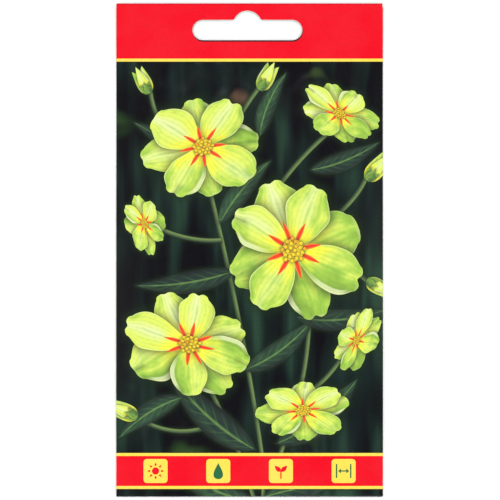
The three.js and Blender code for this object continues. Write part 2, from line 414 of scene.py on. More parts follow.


# --- The print: flat regions of ink, later ones over earlier ones ---

# The last ink is painted shade: red darkened along the top edge and the slot's lower edge.
INKS = ("bare", "garden", "leaf", "stem", "petal", "accent", "red", "yellow", "cream", "green", "bruise")
CAP_STEPS = 15  # points on the rounded end of a petal, and how much of its width the end takes
CAP_SPAN = 0.86
NOTCH_WIDTH = 0.28  # of the dent in a petal's end, as a share of the petal's half width


class Spine:
    """The line that a petal, leaf or stem is drawn along, with its half width at each point of it."""

    def __init__(self, line, widths, centre=(0, 0), matrix=None):
        self.line = np.asarray(line, float)
        self.widths = np.asarray(widths, float)
        self.centre = np.asarray(centre, float)
        self.matrix = np.eye(2) if matrix is None else matrix
        ahead = np.gradient(self.line, axis=0)
        self.ahead = ahead / np.linalg.norm(ahead, axis=1)[:, None]
        self.across = self.ahead @ [[0, 1], [-1, 0]]

    def outline(self, cap=0.0, notch=0.0):
        """Both sides and, past the end, a rounded cap with a notch in its middle."""
        sides = self.across * self.widths[:, None]
        parts = [self.line - sides, (self.line + sides)[::-1]]
        if cap:
            across = np.linspace(-CAP_SPAN, CAP_SPAN, CAP_STEPS)
            past = cap * np.sqrt(1 - across**2) - notch * np.exp(-((across / NOTCH_WIDTH) ** 2))
            end = self.line[-1] + across[:, None] * sides[-1] + past[:, None] * self.ahead[-1]
            parts.insert(1, end)
        return self.centre + np.vstack(parts) @ self.matrix.T

    def place(self, points):
        """Where points lie along the line, from 0 to 1, and across it, from -1 to 1."""
        local = (points - self.centre) @ np.linalg.inv(self.matrix).T
        starts, steps = self.line[:-1], np.diff(self.line, axis=0)
        off = local[:, None] - starts
        share = (off * steps).sum(2) / (steps**2).sum(1)
        share = np.clip(share, 0, np.append(np.ones(len(steps) - 1), 3.0))
        gap = off - share[..., None] * steps
        nearest = np.argmin((gap**2).sum(2), axis=1)
        row = np.arange(len(points))
        share = share[row, nearest]
        width = np.interp(nearest + share, np.arange(len(self.widths)), self.widths)
        side = (gap[row, nearest] * self.across[nearest]).sum(1)
        return (nearest + share) / len(steps), side / np.maximum(width, 1e-3)


class Region:
    """A flat patch of one ink, or a hole where ink is None. tone is how dark or light it is drawn, and
    shadow is how far, in millimetres, it darkens what lies under it."""

    def __init__(self, ink, outline, tone=0.5, spine=None, shadow=0.0):
        outline = np.asarray(outline, float)
        x, y = outline.T
        clockwise = (x * np.roll(y, -1) - y * np.roll(x, -1)).sum() < 0
        self.outline = outline[::-1] if clockwise else outline
        self.ink, self.tone, self.spine, self.shadow = ink, tone, spine, shadow


def turned(degrees):
    a = math.radians(degrees)
    return np.array([[math.cos(a), -math.sin(a)], [math.sin(a), math.cos(a)]])


def tilted(squash, axis):
    """The matrix of a disc that leans back, drawn shorter by squash along an axis in degrees."""
    return turned(axis) @ np.diag([squash, 1]) @ turned(-axis)


def rectangle(low_x, low_y, high_x, high_y):
    return np.array([(low_x, low_y), (high_x, low_y), (high_x, high_y), (low_x, high_y)], float)


def rounded(x, y, half, radius):
    """A square with round corners."""
    inner = half - radius
    corners = ((inner, inner, 0), (-inner, inner, 90), (-inner, -inner, 180), (inner, -inner, 270))
    return np.vstack([arc(x + cx, y + cy, radius, a, a + 90, 5) for cx, cy, a in corners])


def disc(x, y, radius, steps=20):
    return arc(x, y, radius, 0, 360 - 360 / steps, steps)


def bent_line(length, bend, steps, wave=0.0):
    """A line along X that curves aside towards its end, and may wave once on its way."""
    t = np.linspace(0, 1, steps)
    return np.c_[length * t, length * (bend * t**2 + wave * np.sin(math.tau * t) * t)]


LEAF_STEPS = 13
PETAL_STEPS = 29
PETAL_WIDEST = 0.7  # how far along a petal is its widest place


def pointed(length, plump, bend, widest=0.8):
    """A leaf or bud: pointed at both ends. A smaller widest moves its fullest place towards the root."""
    t = np.linspace(0, 1, LEAF_STEPS)
    return bent_line(length, bend, LEAF_STEPS), plump * length * np.sin(np.pi * t**widest) ** 0.9 + 0.02


def petal(rng, radius):
    """A broad petal, narrow at its root and blunt at its end, with a wavy margin."""
    t = np.linspace(0, 1, PETAL_STEPS)
    rise = 0.2 + 0.8 * np.sin(np.pi / 2 * np.minimum(t / PETAL_WIDEST, 1)) ** 1.4
    fall = 1 - 0.42 * np.maximum((t - PETAL_WIDEST) / (1 - PETAL_WIDEST), 0) ** 2
    ripple = 1 + 0.05 * t * np.sin(rng.uniform(9, 15) * t + rng.uniform(0, math.tau))
    line = bent_line(radius * 0.92, rng.uniform(-0.14, 0.14), PETAL_STEPS, rng.uniform(-0.025, 0.025))
    return line, rng.uniform(0.31, 0.38) * radius * rise * fall * ripple


PETALS = 8
STAMENS = 22
STAMEN_TURN = 2.39996  # from one stamen to the next, in radians
HEART = 0.15  # radius of the dome of stamens, as a share of the bloom's
LIGHT_FROM = 120  # direction, in degrees, from which the printed flowers are lit
IN_SHADE = 0.17  # how much darker the back row of petals is


def bloom(art, rng, x, y, radius, turn, squash, axis):
    """An open flower, turned to the front or aside: two rows of petals, flecks, and a dome of stamens."""
    lean = tilted(squash, axis)
    back_row, front_row = range(0, PETALS, 2), range(1, PETALS, 2)
    flecks = []
    for k in (*back_row, *front_row):
        angle = turn + 360 * k / PETALS + rng.uniform(-7, 7)
        matrix = lean @ turned(angle)
        spine = Spine(*petal(rng, radius * rng.uniform(0.88, 1.05)), (x, y), matrix)
        outline = spine.outline(cap=0.1 * radius, notch=rng.uniform(0.0, 0.07) * radius)
        lit = 0.5 + 0.22 * math.cos(math.radians(angle - LIGHT_FROM)) + rng.uniform(-0.2, 0.2)
        if k in back_row:
            lit -= IN_SHADE
        art.append(Region("petal", outline, lit, spine, shadow=0.15 * radius))
        line = bent_line(0.26 * radius, rng.uniform(-0.1, 0.1), 7) + (HEART * radius, 0)
        widths = 0.035 * radius * np.sin(np.linspace(0.9, np.pi, 7)) + 0.01
        spine = Spine(line, widths, (x, y), matrix)
        flecks.append(Region("accent", spine.outline(), rng.uniform(0, 0.25), spine))
    art.extend(flecks)
    dome = disc(0, 0, HEART * radius)
    art.append(Region("accent", dome @ lean.T + (x, y), 0.75, shadow=0.06 * radius))
    for k in range(STAMENS):
        reach = 0.17 * radius * math.sqrt((k + 0.5) / STAMENS)
        turn_k = k * STAMEN_TURN
        dot = disc(reach * math.cos(turn_k), reach * math.sin(turn_k), 0.024 * radius, 8)
        art.append(Region("accent", dot @ lean.T + (x, y), rng.uniform(0.45, 1), shadow=0.02 * radius))


def blade(art, ink, root, angle, shape, tone, shadow):
    """A leaf or petal whose line and widths leave its root at an angle."""
    spine = Spine(*shape, root, turned(angle))
    art.append(Region(ink, spine.outline(), tone, spine, shadow))


def leaf(art, rng, x, y, length, angle, plump, bend):
    blade(art, "leaf", (x, y), angle, pointed(length, plump, bend), rng.uniform(0, 1), 1.0)


# A bud's petals: share of its length, lean to the side, plumpness and light.
BUD_PETALS = ((0.92, 0.1, 0.22, 0.2), (0.95, -0.1, 0.22, 0.5), (1.0, 0.0, 0.176, 0.85))
CUP_TONE = 2.2  # marks the leaves of a bud's cup, whose sides aren't blurred


def bud(art, rng, x, y, length, angle):
    """A closed bud: petals folded over each other above a small green cup."""
    for share, aside, plump, lit in BUD_PETALS:
        shape = pointed(length * share, plump, aside, widest=0.62)
        blade(art, "petal", (x, y), angle + 60 * aside, shape, lit + rng.uniform(-0.1, 0.1), 0.6)
    for aside in (-24, 24, 0):
        shape = pointed(length * 0.4, 0.26, 0.0, widest=0.7)
        blade(art, "leaf", (x, y), angle + aside, shape, CUP_TONE, 0.4)


STEM_HALF = 0.7  # half a stem's width


def stem(art, start, pull, end):
    """A stem along a smooth curve through a start, a pull and an end."""
    start, pull, end = np.array([start, pull, end], float)
    t = np.linspace(0, 1, 21)[:, None]
    line = start * (1 - t) ** 2 + 2 * pull * t * (1 - t) + end * t**2
    spine = Spine(line, np.full(len(line), STEM_HALF))
    art.append(Region("stem", spine.outline(), 0.5, spine, shadow=0.6))


# The picture's plants, all in millimetres from the front's middle. Stems: start, pull and end.
STEMS = (
    ((4, -64), (-2, -20), (-14, 26)),
    ((8, -64), (22, -30), (16, 0)),
    ((-2, -64), (-8, -48), (-18, -30)),
    ((-6, -8), (6, 22), (27, 38)),
    ((14.6, -44), (24, -40), (31, -26)),
    ((-8.4, 3), (-20, 2), (-32, 9)),
    ((-12, 18), (-6, 38), (3, 49)),
    ((18, 4), (32, 14), (35, 22)),
    ((-7.4, -51), (-22, -58), (-33.5, -50)),
    ((-15, 30), (-28, 34), (-29.8, 47.5)),
    ((14, -2), (28, -3), (35, -9)),
    ((4, -62), (4.4, -70), (4, -80)),
    ((8, -62), (7.2, -70), (7.6, -80)),
    ((-2, -62), (0.5, -72), (3, -80)),
)
# Leaves: root, length, direction in degrees, plumpness and bend.
LEAVES = (
    (2, -60, 34, 152, 0.13, -0.25),
    (8, -58, 30, 22, 0.14, 0.3),
    (-2, -36, 26, 20, 0.12, 0.3),
    (-4, -6, 30, 200, 0.11, -0.2),
    (14, -20, 26, -12, 0.12, 0.3),
    (-9, 8, 24, 62, 0.13, -0.2),
    (-14, 22, 26, 128, 0.12, 0.25),
    (18, 24, 22, 8, 0.13, 0.25),
    (3, 34, 20, 84, 0.13, -0.3),
    (-20, -44, 22, 196, 0.14, 0.3),
    (4, -74, 30, 14, 0.13, 0.1),
    (2, -76, 28, 166, 0.13, -0.12),
)
# Buds: root, length and direction.
BUDS = ((3, 48, 9.5, 62), (35, 21, 10.5, 48), (-33.5, -50, 10, 158), (-30, 47, 9, 118), (35, -9, 9, -28))
# Blooms: middle, radius, turn, and how a leaning one is squashed along its axis.
BLOOMS = (
    (-31.5, 8, 9.5, 10, 0.62, 20),
    (27, 41, 12.5, 0, 0.68, 60),
    (32, -27, 10, 25, 0.6, -30),
    (-14, 31, 18, 12, 0.88, 110),
    (-18, -28, 19.5, 30, 0.84, 70),
    (16, -48, 13.5, 5, 0.7, 95),
    (13, 0, 22.5, 20, 0.94, 15),
)
PICTURE_DRAW = 11  # seed of the picture's random draws


def picture(art, m):
    """The garden picture of the front: stems, leaves, buds and open blooms over a dark background."""
    rng = np.random.default_rng(PICTURE_DRAW)
    art.append(Region("garden", rectangle(-m.fold_end, m.low, m.fold_end, m.top)))
    for points in STEMS:
        stem(art, *points)
    for grow, plants in ((leaf, LEAVES), (bud, BUDS), (bloom, BLOOMS)):
        for plant in plants:
            grow(art, rng, *plant)


BAND_TOP = -60.8  # the red base band with its rules
BAND_LOW = -71.6
RULE = 0.9  # width of the yellow rules
PLATE_HALF = 3.6  # of a pictogram's plate
PLATE_CORNER = 1.0
PLATE_SPREAD = 0.94  # share of the width that the row of plates spreads over
SYMBOL_SHARE = 0.72  # of a plate that its pictogram fills
TOP_EDGE_SHADE = 0.32  # how far down from the top edge the painted shade reaches, and how dark it is
TOP_EDGE_SHADE_TONE = 0.25


def leaf_pair(x, y, length, plump):
    """Two small leaves that spread from one point."""
    for angle, bend in ((35, 0.15), (145, -0.15)):
        yield Spine(*pointed(length, plump, bend), (x, y), turned(angle)).outline()


def sun(x, y, size):
    ray = bent_line(0.34 * size, 0, 3) + (0.62 * size, 0)
    widths = (0.12 * size, 0.1 * size, 0.02)
    rays = [Spine(ray, widths, (x, y), turned(angle)).outline() for angle in range(0, 360, 45)]
    return [disc(x, y, 0.42 * size), *rays]


def drop(x, y, size):
    a = np.linspace(0, math.tau, 33)[:-1]
    return [np.c_[x + 0.8 * size * np.sin(a) * np.sin(a / 2) ** 1.6, y + 0.95 * size * np.cos(a)]]


def sprout(x, y, size):
    stalk = rectangle(x - 0.08 * size, y - 0.9 * size, x + 0.08 * size, y)
    return [stalk, *leaf_pair(x, y - 0.05 * size, 0.95 * size, 0.26)]


def gauge(x, y, size):
    """Two bars with a double arrow between them: the space between plants."""
    bars = [rectangle(-0.9, -0.8, -0.74, 0.8), rectangle(0.74, -0.8, 0.9, 0.8)]
    shaft = rectangle(-0.4, -0.07, 0.4, 0.07)
    heads = [np.array([(0.64, 0), (0.3, 0.28), (0.3, -0.28)]) * (side, 1) for side in (-1, 1)]
    return [shape * size + (x, y) for shape in (*bars, shaft, *heads)]


PICTOGRAMS = (sun, drop, sprout, gauge)


def front_plates(art, m):
    """The red header and base band with their yellow rules, and the pictograms on the band."""
    # Only the painted shade along the top edge shows its tone.
    for ink, low, high in (
        ("red", m.pocket_high, m.top),
        ("bruise", m.top - TOP_EDGE_SHADE, m.top),
        ("yellow", m.pocket_high - RULE, m.pocket_high),
        ("yellow", BAND_LOW, BAND_TOP),
        ("red", BAND_LOW + RULE, BAND_TOP - RULE),
        ("red", m.low, m.turn_end),
    ):
        art.append(Region(ink, rectangle(-m.fold_end, low, m.fold_end, high), TOP_EDGE_SHADE_TONE))
    middle = (BAND_LOW + BAND_TOP) / 2
    for k, symbol in enumerate(PICTOGRAMS):
        x = (k - (len(PICTOGRAMS) - 1) / 2) * WIDTH / len(PICTOGRAMS) * PLATE_SPREAD
        art.append(Region("yellow", rounded(x, middle, PLATE_HALF, PLATE_CORNER)))
        ink = "red" if k % 2 == 0 else "green"
        art.extend(Region(ink, outline) for outline in symbol(x, middle, PLATE_HALF * SYMBOL_SHARE))


# The back, in millimetres from its middle.
LAP_MISFIT = 0.35  # the two panels' print meets this far out of line at the seam
LINE = 0.3  # width of the drawn lines
MONTHS = 12
MONTH_CELL = 5.2
CALENDAR_ROW = 4.0
# Ink, height and months of each row.
CALENDAR = (("yellow", 44.6, (2, 3, 4, 8)), ("petal", 40.6, (4, 5)), ("red", 36.6, (5, 6, 7)))
BACK_HALF = MONTHS * MONTH_CELL / 2  # half the width of all that is drawn there
BACK_PLATES = (-26, -14, 14, 26)
BACK_PLATES_Y = 27
BACK_PLATE_HALF = 5
TEXT_SPACING = 4.0  # between the ruled lines
UPPER_TEXT = (15, 5, 0.3)  # top line, number of lines, and where on the half width the last one ends
LOWER_TEXT = (-40, 4, -0.2)
BOX_LOW = -33.0  # of the planting picture
BOX_HIGH = -8.0
SOIL = -24.0  # height of the ground in it
# Place, height of the seed and growth at each step.
PLANTING = ((-24, -28.5, 0), (-9, -27.5, 0.45), (6, -26.5, 1.0), (22, -26.0, 1.7))
FULL_GROWTH = 5.5  # height of a plant at growth 1
LEAF_EVERY = 0.55  # growth between two pairs of its leaves
LEAF_LENGTH = 4.2
STALK_HALF = 0.35
SOWN_RADIUS = 1.1  # of a seed


def on_back(art, m, ink, outline):
    """Prints a region on both back panels, where the outline is drawn as it is seen from behind."""
    art.append(Region(ink, np.asarray(outline) + (m.back_middle, 0)))
    art.append(Region(ink, np.asarray(outline) + (-m.back_middle, LAP_MISFIT)))


def framed(art, m, fill, low_x, low_y, high_x, high_y, line):
    """A box of one ink in a green frame."""
    on_back(art, m, "green", rectangle(low_x, low_y, high_x, high_y))
    on_back(art, m, fill, rectangle(low_x + line, low_y + line, high_x - line, high_y - line))


def ruled_lines(art, m, top, count, last_end):
    """Lines where text would be, the last one shorter."""
    for k in range(count):
        y = top - TEXT_SPACING * k
        end = BACK_HALF if k < count - 1 else last_end * BACK_HALF
        on_back(art, m, "green", rectangle(-BACK_HALF, y, end, y + LINE))


def calendar(art, m):
    for ink, y, months in CALENDAR:
        for k in range(MONTHS):
            x = -BACK_HALF + k * MONTH_CELL
            fill = ink if k in months else "cream"
            framed(art, m, fill, x, y, x + MONTH_CELL, y + CALENDAR_ROW, LINE / 2)


def planting(art, m):
    """A seed in the soil that grows to a plant, in four steps."""
    framed(art, m, "cream", -BACK_HALF, BOX_LOW, BACK_HALF, BOX_HIGH, LINE)
    on_back(art, m, "leaf", rectangle(-BACK_HALF + LINE, BOX_LOW + LINE, BACK_HALF - LINE, SOIL))
    for x, y, growth in PLANTING:
        if growth:
            stalk = rectangle(x - STALK_HALF, y, x + STALK_HALF, SOIL + FULL_GROWTH * growth)
            on_back(art, m, "green", stalk)
            for level in np.arange(0.5, growth + 0.6, LEAF_EVERY):
                for outline in leaf_pair(x, SOIL + FULL_GROWTH * min(level, growth), LEAF_LENGTH, 0.24):
                    on_back(art, m, "green", outline)
        on_back(art, m, "yellow", disc(x, y, SOWN_RADIUS))


def back_panels(art, m):
    """The back: a cream ground, a green header, a sowing calendar, pictograms and ruled boxes."""
    for low, high in ((-m.side, -m.fold_end), (m.fold_end, m.side)):
        art.append(Region("cream", rectangle(low, m.turn_end, high, m.top)))
        art.append(Region("green", rectangle(low, m.pocket_high, high, m.top)))
        art.append(Region("red", rectangle(low, m.low, high, m.turn_end)))
    calendar(art, m)
    for x, symbol in zip(BACK_PLATES, PICTOGRAMS):
        on_back(art, m, "green", rounded(x, BACK_PLATES_Y, BACK_PLATE_HALF, PLATE_CORNER))
        for outline in symbol(x, BACK_PLATES_Y, BACK_PLATE_HALF * SYMBOL_SHARE):
            on_back(art, m, "yellow", outline)
    ruled_lines(art, m, *UPPER_TEXT)
    planting(art, m)
    ruled_lines(art, m, *LOWER_TEXT)


def packet_art(m):
    """All that is printed on the sheet or cut out of it, in its order."""
    art = [Region("cream", rectangle(-m.side, m.low, m.side, m.top))]
    picture(art, m)
    front_plates(art, m)
    back_panels(art, m)
    slot = slot_outline(m)
    # Painted shadow: two dark crescents just past the slot's lower right edge.
    for shift, tone in SLOT_SHADOW_CRESCENTS:
        art.append(Region("bruise", slot + shift, tone))
    art.append(Region(None, slot))
    for middle in (-m.back_middle, m.back_middle):
        art.append(Region(None, slot * (-1, 1) + (middle, 0)))
    return art


# --- The sheet as a closed mesh ---

COARSE = 2.4  # how many times wider the mesh points lie outside the picture
SAME_POINT = 1e-4  # points this near each other are one, in millimetres
BAKE_MARGIN = 2.0  # bare border of the bake's map, in millimetres of sheet
BAKE_RIM = 0.35  # width on that map of the sheet's cut edges
INSIDE_BAND = 6.0  # height on that map of the sheet's whole inside, with its border
SHARP = 60  # edges bent further than this, in degrees, stay sharp
WELD = 1e-6  # points of the folded sheet this near each other are one, in metres


def guide_lines(m, spacing):
    """The lines that faces stop at: the folds, the turn, the lap's step and the seals."""
    fold_steps = [m.fold + m.fold_arc * k / CELLS_IN_FOLD for k in range(CELLS_IN_FOLD + 1)]
    lap_steps = [m.step_end - STEP_DOWN * k / CELLS_IN_STEP for k in range(CELLS_IN_STEP + 1)]
    turn_steps = [m.turn - m.turn_arc * k / CELLS_IN_TURN for k in range(CELLS_IN_TURN + 1)]
    along = np.arange(m.low, m.top + spacing, spacing).clip(m.low, m.top)
    across = np.arange(-m.side, m.side + spacing, spacing).clip(-m.side, m.side)
    for s in (*(-step for step in fold_steps), *fold_steps, *lap_steps):
        yield np.c_[np.full(len(along), s), along]
    for w in (*turn_steps, m.pocket_low, m.pocket_high):
        yield np.c_[across, np.full(len(across), w)]


def grid(low_x, low_y, high_x, high_y, spacing):
    """Points in rows, each row half a step aside from the last."""
    rows = []
    for k, y in enumerate(np.arange(low_y + spacing / 2, high_y, spacing * 0.87)):
        x = np.arange(low_x + spacing * (0.25 + 0.5 * (k % 2)), high_x, spacing)
        rows.append(np.c_[x, np.full(len(x), y)])
    return np.vstack(rows)


def triangulated(art, m, spacing):
    """Flat triangles that follow every outline, and for each the index of the region on top there."""
    points, faces, edges = [], [], []
    for region in art:
        start = len(points)
        points.extend(region.outline)
        faces.append(list(range(start, len(points))))
    for line in guide_lines(m, spacing):
        start = len(points)
        points.extend(line)
        edges.extend((k, k + 1) for k in range(start, len(points) - 1))
    wide = spacing * COARSE
    for box in (
        (-m.fold, BAND_TOP, m.fold, m.pocket_high, spacing),
        (-m.fold, m.low, m.fold, BAND_TOP, wide),
        (-m.fold, m.pocket_high, m.fold, m.top, wide),
        (m.fold_end, m.low, m.side, m.top, wide),
        (-m.side, m.low, -m.fold_end, m.top, wide),
    ):
        points.extend(grid(*box))
    coords = [Vector(map(float, p)) for p in points]
    flat, _, corners, _, _, owners = delaunay_2d_cdt(coords, edges, faces, 0, SAME_POINT, True)
    flat = np.array([tuple(v) for v in flat])
    corners = np.array(corners)
    top = np.array([max(regions, default=-1) for regions in owners])
    on_sheet = np.array([0 in regions for regions in owners])
    hole = np.array([region.ink is None for region in art] + [True])
    keep = on_sheet & ~hole[top]
    used, corners = np.unique(corners[keep], return_inverse=True)
    return flat[used], corners.reshape(-1, 3), top[keep]


def distance_to(points, outline):
    """How far points lie from a closed outline."""
    steps = np.roll(outline, -1, axis=0) - outline
    off = points[:, None] - outline
    share = ((off * steps).sum(2) / np.maximum((steps**2).sum(1), 1e-9)).clip(0, 1)
    return np.sqrt(((off - share[..., None] * steps) ** 2).sum(2).min(1))


def corner_data(art, flat, corners, top):
    """For each corner of each triangle: its place along and across its region with the region's tone, and
    how deep it lies in the printed shadow of the regions drawn over it."""
    at = flat[corners.ravel()]
    owner = np.repeat(top, 3)
    place = np.zeros((len(at), 3))
    shadow = np.zeros(len(at))
    for k, region in enumerate(art):
        mine = owner == k
        place[mine, 2] = region.tone
        if region.spine is not None and mine.any():
            place[mine, 0], place[mine, 1] = region.spine.place(at[mine])
        if region.shadow:
            low, high = region.outline.min(0) - region.shadow, region.outline.max(0) + region.shadow
            under = np.flatnonzero((owner < k) & (at > low).all(1) & (at < high).all(1))
            if len(under):
                near = 1 - (distance_to(at[under], region.outline) / region.shadow).clip(0, 1)
                shadow[under] = np.maximum(shadow[under], near**1.5)
    return place, shadow


def sheet_mesh(m, art, spacing):
    """The printed sheet, still flat, as a closed mesh with an outside, an inside and cut edges."""
    flat, corners, top = triangulated(art, m, spacing)
    place, shadow = corner_data(art, flat, corners, top)
    count = len(flat)
    pairs = np.vstack([corners[:, [0, 1]], corners[:, [1, 2]], corners[:, [2, 0]]]).tolist()
    there = {tuple(pair) for pair in pairs}
    rim = np.array([pair for pair in pairs if (pair[1], pair[0]) not in there])
    half = m.paper / 2
    verts = np.vstack([np.c_[flat, np.full(count, half)], np.c_[flat, np.full(count, -half)]]) * MM
    walls = np.c_[rim[:, 0] + count, rim[:, 1] + count, rim[:, 1], rim[:, 0]]
    faces = [*corners.tolist(), *(corners[:, ::-1] + count).tolist(), *walls.tolist()]
    mesh = bpy.data.meshes.new("printed_sheet")
    mesh.from_pydata(verts.tolist(), [], faces)

    # The print's own map, and one for the bake, where no two faces share a place.
    away = flat[rim[:, 1]] - flat[rim[:, 0]]
    away = away / np.linalg.norm(away, axis=1)[:, None] @ [[0, -1], [1, 0]] * BAKE_RIM
    outside = flat[corners.ravel()]
    inside = flat[corners[:, ::-1].ravel()]
    ends = flat[rim]
    wall = np.stack([ends[:, 0] + away, ends[:, 1] + away, ends[:, 1], ends[:, 0]], 1).reshape(-1, 2)
    side = 2 * (m.side + BAKE_MARGIN)
    shift = (m.side + BAKE_MARGIN, BAKE_MARGIN - m.low)
    squeeze = (1, (INSIDE_BAND - BAKE_MARGIN) / (m.top - m.low))
    squeezed = (inside + shift) * squeeze + (0, side - INSIDE_BAND)
    bake = np.vstack([outside + shift, squeezed, wall + shift]) / side
    sheet = np.vstack([outside, inside, wall])
    for name, spots in (("Sheet", sheet), ("OFBake", bake)):
        mesh.uv_layers.new(name=name).uv.foreach_set("vector", spots.astype(np.float32).ravel())

    # What the materials read, which is blank on the inside and on the cut edges.
    plain = len(sheet) - len(outside)
    inks = [INKS.index(art[k].ink) for k in top] + [0] * (len(faces) - len(top))
    for name, kind, domain, field, data in (
        ("place", "FLOAT_VECTOR", "CORNER", "vector", np.vstack([place, np.zeros((plain, 3))])),
        ("shadow", "FLOAT", "CORNER", "value", np.append(shadow, np.zeros(plain))),
        ("ink", "INT", "FACE", "value", np.array(inks)),
    ):
        data = data.astype(np.int32 if kind == "INT" else np.float32)
        mesh.attributes.new(name, kind, domain).data.foreach_set(field, data.ravel())
    mesh.shade_smooth()
    mesh.set_sharp_from_angle(angle=math.radians(SHARP))
    return mesh


# --- Folding ---

EDGE_SHARE = 0.35  # share of the bulge by which the side folds rise
SAG = 0.75  # below 1, the pocket is fullest below its middle
FRONT_FLATNESS = 2.6  # the higher, the flatter the wall and the rounder its sides
BACK_FLATNESS = 2.4
WAVE_SCALE = 55.0  # of the soft waves, per metre
CREASE_TURN = 520  # radians of crease per metre across
CREASE_STRAY = 9  # how far the creases stray from straight, in radians, and how finely
STRAY_SCALE = 90.0
PUCKER_PEAK = 7.0  # how far from a seal its creases are highest, and how far they reach
PUCKER_END = 20.0
SETTLE_START = 2.0  # this far above the flap the back starts down to the table
SETTLE_END = -5.0  # from this line up it lies on the table
CURL_START = 30.0  # from here to the header the packet bends up


# What the folding tree takes from the flat sheet's lines and from the settings.
LINES_TAKEN = ("fold", "fold_radius", "layer", "turn", "stack_half", "top", "pocket_low", "pocket_high")
SETTINGS_TAKEN = ("lap", "turn_radius", "bulge", "header_rise", "ripple", "pucker")


def fold_sizes(settings, m):
    """The folding tree's sizes in metres, by the names of its inputs."""
    sizes = {name: getattr(m, name) * MM for name in LINES_TAKEN}
    sizes |= {name: getattr(settings, name) for name in SETTINGS_TAKEN}
    return {name.replace("_", " ").title(): size for name, size in sizes.items()}


def folded_place(tree, given):
    """Where a point of the flat sheet comes to lie. X runs across the sheet, Y along it, Z through it."""
    s, w, out = add(tree, "GeometryNodeInputPosition").split()
    fold, fold_radius, layer = given["Fold"], given["Fold Radius"], given["Layer"]
    across = abs(s)
    angle = ((across - fold) / fold_radius).clamp(0, math.pi)
    run = (across - fold - fold_radius * math.pi).most(0)
    radius = fold_radius + out
    x = s.sign() * (across.least(fold) + radius * angle.sine() - run)
    lap_half = given["Lap"] / 2
    over = s.above(0) * run.smooth(fold - lap_half - STEP_DOWN * MM, fold - lap_half)

    # The pocket's swell, its soft waves, and the short creases where it meets the two seals.
    low, high = given["Pocket Low"], given["Pocket High"]
    span = ((w - low) / (high - low)).clamp()
    hump = given["Bulge"] * (span**SAG * math.pi).sine().most(0) ** 1.2
    share = (abs(x) / fold).clamp()
    front = 1 - share**FRONT_FLATNESS * (1 - EDGE_SHARE)
    flat_half = lap_half + 2 * STEP_DOWN * MM
    back = ((abs(x) - flat_half) / (fold - flat_half)).clamp() ** BACK_FLATNESS * EDGE_SHARE
    behind = angle / math.pi
    flat_place = joined(tree, s, w)
    wave = noise(flat_place, WAVE_SCALE, 1.0) - 0.5
    loose = (hump * 0.6).least(given["Ripple"] * 2) * (1 - share**4)
    creases = (s * CREASE_TURN + noise(flat_place, STRAY_SCALE, 1.0) * CREASE_STRAY).sine()
    from_seal = (high - w).least(w - low)
    seal = from_seal.smooth(0, PUCKER_PEAK * MM) * (1 - from_seal.smooth(PUCKER_PEAK * MM, PUCKER_END * MM))
    pucker = creases * seal * given["Pucker"] * (1 - share**3)
    swell = hump * (front * (1 - behind) + back * behind) + (wave * loose + pucker) * (1 - behind)
    level = radius * angle.cosine() - layer * over + swell

    # The turned-up bottom, the way down to the table, and the header's rise off it.
    turn, turn_radius = given["Turn"], given["Turn Radius"]
    past = turn - w
    turn_arc = turn_radius * math.pi
    bend = (past / turn_radius).clamp(0, math.pi)
    reach = turn_radius + level
    y = turn + (0 - past).most(0) + (past - turn_arc).most(0) - reach * bend.sine()
    curl_run = high - CURL_START * MM
    up = (w - CURL_START * MM).clamp(0, curl_run) ** 2 / 2 + curl_run * (w - high).most(0)
    curl = given["Header Rise"] * up / (curl_run**2 / 2 + curl_run * (given["Top"] - high))
    settle = (turn_radius * 2 - layer) * w.smooth(low + SETTLE_START * MM, SETTLE_END * MM)
    z = given["Stack Half"] + reach * bend.cosine() + past.below(0) * (curl - settle)
    return joined(tree, x, y, z)


def fold_tree(sizes, materials):
    """Folds a flat sheet into the packet and gives each of its inks a material."""

    def folded(tree, given):
        place = folded_place(tree, given)
        shape = add(tree, "GeometryNodeSetPosition", {"Geometry": given["Geometry"], "Position": place})
        shape = add(tree, "GeometryNodeRealizeInstances", {0: shape})
        ink = stored(tree, "ink", "INT")
        for k, material in enumerate(materials):
            inputs = {"Geometry": shape, "Selection": abs(ink - k).below(0.5), "Material": material}
            shape = add(tree, "GeometryNodeSetMaterial", inputs)
        return shape

    inputs = {name: ("number", size) for name, size in sizes.items()}
    return shaping_tree("Fold the Sheet", inputs, folded)


def shown(name, data):
    """A new object in the scene."""
    made = bpy.data.objects.new(name, data)
    bpy.context.scene.collection.objects.link(made)
    return made


def evaluated(name, mesh, tree, values):
    """An object with a tree's result for its own mesh, and no modifier left."""
    piece = shown(name, mesh)
    modifier = piece.modifiers.new(tree.name, "NODES")
    modifier.node_group = tree
    for item in tree.interface.items_tree:
        if item.item_type == "SOCKET" and item.in_out == "INPUT" and item.name in values:
            modifier[item.identifier] = values[item.name]
    depsgraph = bpy.context.evaluated_depsgraph_get()
    made = bpy.data.meshes.new_from_object(piece.evaluated_get(depsgraph), depsgraph=depsgraph)
    made.name = name
    piece.modifiers.remove(modifier)
    piece.data = made
    return piece


def weld(mesh):
    """Joins points that almost touch, where outlines cross, so that no sliver of a face is left."""
    work = bmesh.new()
    work.from_mesh(mesh)
    bmesh.ops.remove_doubles(work, verts=work.verts, dist=WELD)
    bmesh.ops.dissolve_degenerate(work, edges=work.edges, dist=WELD)
    work.to_mesh(mesh)
    work.free()


